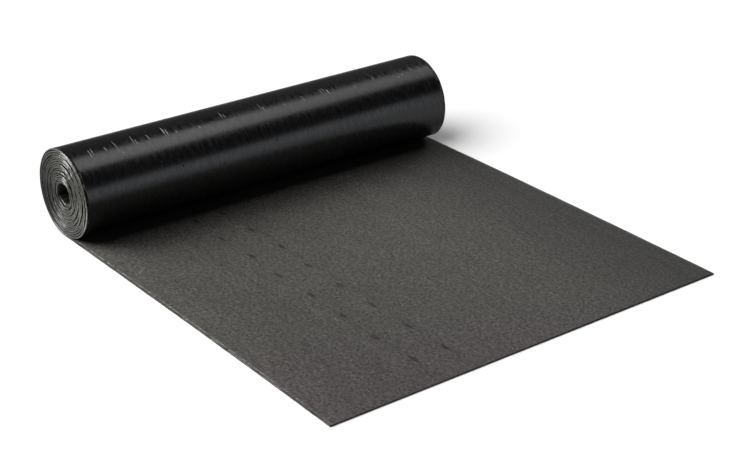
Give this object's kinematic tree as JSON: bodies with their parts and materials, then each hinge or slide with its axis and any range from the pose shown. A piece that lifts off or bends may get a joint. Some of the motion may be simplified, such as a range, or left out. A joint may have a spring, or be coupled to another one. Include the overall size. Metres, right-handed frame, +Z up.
{
  "type": "roll of roofing felt",
  "caption": "Partly unrolled roll of thick bitumen roofing felt, wound into a coil with an open bore, its free end lying flat.",
  "frame": {"origin": "middle of the footprint, on the floor that the roll and its flat end lie on", "axes": "+X along the flat end, from the roll to the sheet's free end; +Y along the roll's axis, which is the sheet's width; +Z up"},
  "size_m": [1.1036, 1, 0.2073],
  "materials": {
    "bitumen_felt": "glossy black film on the underside, which faces outwards in the roll; matte dark grey sanded top"
  },
  "bodies": {
    "root": {"felt_sheet": "bitumen_felt"}
  },
  "joints": []
}
